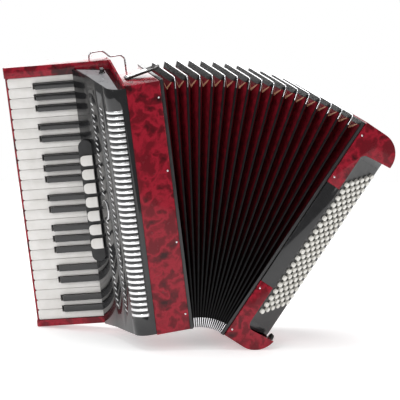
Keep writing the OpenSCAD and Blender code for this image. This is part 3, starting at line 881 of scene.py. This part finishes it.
def hand_strap():
    """The bass strap: a bowed leather band, crowned across its width, with stitches down both edges."""
    half = (STRAP_TO - STRAP_FROM) / 2
    radius = (half * half + STRAP_BOW * STRAP_BOW) / (2 * STRAP_BOW)
    turned = math.asin(half / radius)
    steps = 40

    def spot(s, out, y):
        a = -turned + 2 * turned * s
        reach = radius + out
        return Vector((BASS_W + 0.2 + STRAP_BOW - radius + reach * math.cos(a), y,
                       (STRAP_FROM + STRAP_TO) / 2 + reach * math.sin(a)))

    bm = bmesh.new()
    across = [i / 12 for i in range(13)]

    def section(i):
        s = i / steps
        top = [spot(s, STRAP_T * (0.55 + 0.45 * math.sin(math.pi * c) ** 0.5), STRAP_Y + STRAP_W * c)
               for c in across]
        under = [spot(s, 0.2, STRAP_Y + STRAP_W * c) for c in reversed(across)]
        return top + under

    sweep(bm, range(steps + 1), section)
    piece("hand_strap", bm, [BLACK_LEATHER], "bass", BASS, 60.0, ["bass_strap"])

    bm = bmesh.new()
    for y in (STRAP_Y + 4.0, STRAP_Y + STRAP_W - 4.0):
        for n in range(84):
            s = 0.02 + 0.96 * n / 84
            a, b = spot(s, STRAP_T * 0.86, y), spot(s + 0.007, STRAP_T * 0.86, y)
            side = Vector((0, 0.35, 0))
            up = (spot(s, 1.0, y) - spot(s, 0.0, y)) * 0.35
            ends = [[p - side, p + side, p + side * 0.5 + up, p - side * 0.5 + up] for p in (a, b)]
            sweep(bm, ends, lambda i: ends[i])
    piece("hand_strap_stitches", bm, [THREAD], "bass", BASS)

    bm = bmesh.new()
    for w in (STRAP_FROM + 7.0, STRAP_TO - 7.0):
        for y in (STRAP_Y + 14.0, STRAP_Y + STRAP_W - 14.0):
            place = Matrix.Translation((BASS_W + 3.4, y, w)) @ turn("Y", 90.0)
            lathe(bm, [(4.0, -0.6), (4.1, 0.2), (3.6, 1.0), (2.2, 1.6), (0.8, 1.8)], place, 24)
    piece("hand_strap_screws", bm, [CHROME], "bass", BASS)


def bellows_strap():
    """The short strap on top, which buttons down to hold the bellows shut."""
    place = TREBLE @ Matrix.Translation((-48.0, 50.0, CASE_H / 2 + 2.4)) @ turn("Y", -11.0)
    bm = bmesh.new()
    outline = [(0.0, 0.0), (52.0, 0.0)]
    outline += [(52.0 + 12.0 * math.sin(a), 12.0 - 12.0 * math.cos(a))
                for a in (math.radians(15 * i) for i in range(1, 12))]
    outline += [(52.0, 24.0), (0.0, 24.0)]
    hole = [(52.0 + 4.0 * math.cos(a), 12.0 + 4.0 * math.sin(a))
            for a in (math.radians(22.5 * i) for i in range(16))]
    levels = [-1.4, 1.2]
    loops = []
    for points in (outline, hole):
        for z in levels:
            verts = [bm.verts.new((x, y, z)) for x, y in points]
            for a, b in zip(verts, verts[1:] + verts[:1]):
                bm.edges.new((a, b))
            loops.append(verts)
    for pair in ((0, 1), (2, 3)):
        low, high = loops[pair[0]], loops[pair[1]]
        for i in range(len(low)):
            j = (i + 1) % len(low)
            bm.faces.new((low[i], low[j], high[j], high[i]))
    for n in (0, 1):
        verts = set(loops[n]) | set(loops[n + 2])
        rim = [e for e in bm.edges if set(e.verts) <= verts]
        bmesh.ops.triangle_fill(bm, edges=rim, use_beauty=True)
    bevel(bm, sharp_edges(bm, 50.0), 0.5, 2)
    piece("bellows_strap_leather", bm, [BLACK_LEATHER], "bellows_strap", place, 40.0,
          ["bellows_strap"])
    bm = bmesh.new()
    block(bm, (3.0, 3.0, 1.2), (40.0, 21.0, 1.9), 0.3)
    piece("bellows_strap_plate", bm, [CHROME], "bellows_strap", place)
    bm = bmesh.new()
    barrel = turn("X", -90.0)
    lathe(bm, [(1.7, 0.2), (2.0, 0.6), (2.0, 23.4), (1.7, 23.8)], barrel, 24)
    piece("bellows_strap_hinge_barrel", bm, [BLACK_SATIN], "bellows_strap", place)


WIRE_R = 1.6
WIRE_BEND = 3.4


def strap_wire():
    """The bent wire for the shoulder strap, as one smooth tube."""
    y = 150.0
    route = [(-94, 250), (-94, 268), (-89, 272), (-69, 272), (-62, 266), (-56, 259), (-36, 259),
             (-29, 252), (-29, 230)]
    points = []
    for n, (x, z) in enumerate(route):
        here = Vector((x, 0, z))
        if n in (0, len(route) - 1):
            points.append(here)
            continue
        before, after = (Vector((p[0], 0, p[1])) for p in (route[n - 1], route[n + 1]))
        reach = min(WIRE_BEND, 0.45 * (here - before).length, 0.45 * (after - here).length)
        a = here + (before - here).normalized() * reach
        b = here + (after - here).normalized() * reach
        points += [a.lerp(here, t).lerp(here.lerp(b, t), t) for t in (i / 5 for i in range(6))]
    bm = bmesh.new()

    def section(i):
        along = (points[min(i + 1, len(points) - 1)] - points[max(i - 1, 0)]).normalized()
        across = Vector((along.z, 0, -along.x))
        middle = points[i] + Vector((0, y, 0))
        return [middle + WIRE_R * (math.cos(a) * across + math.sin(a) * Vector((0, 1, 0)))
                for a in (math.radians(30 * s) for s in range(12))]

    sweep(bm, points, section)
    piece("strap_wire", bm, [CHROME], "treble", TREBLE, 60.0, ["strap_bracket"])


stage()
treble_side()
keyboard()
bellows()
bass_side()
hand_strap()
bellows_strap()
strap_wire()
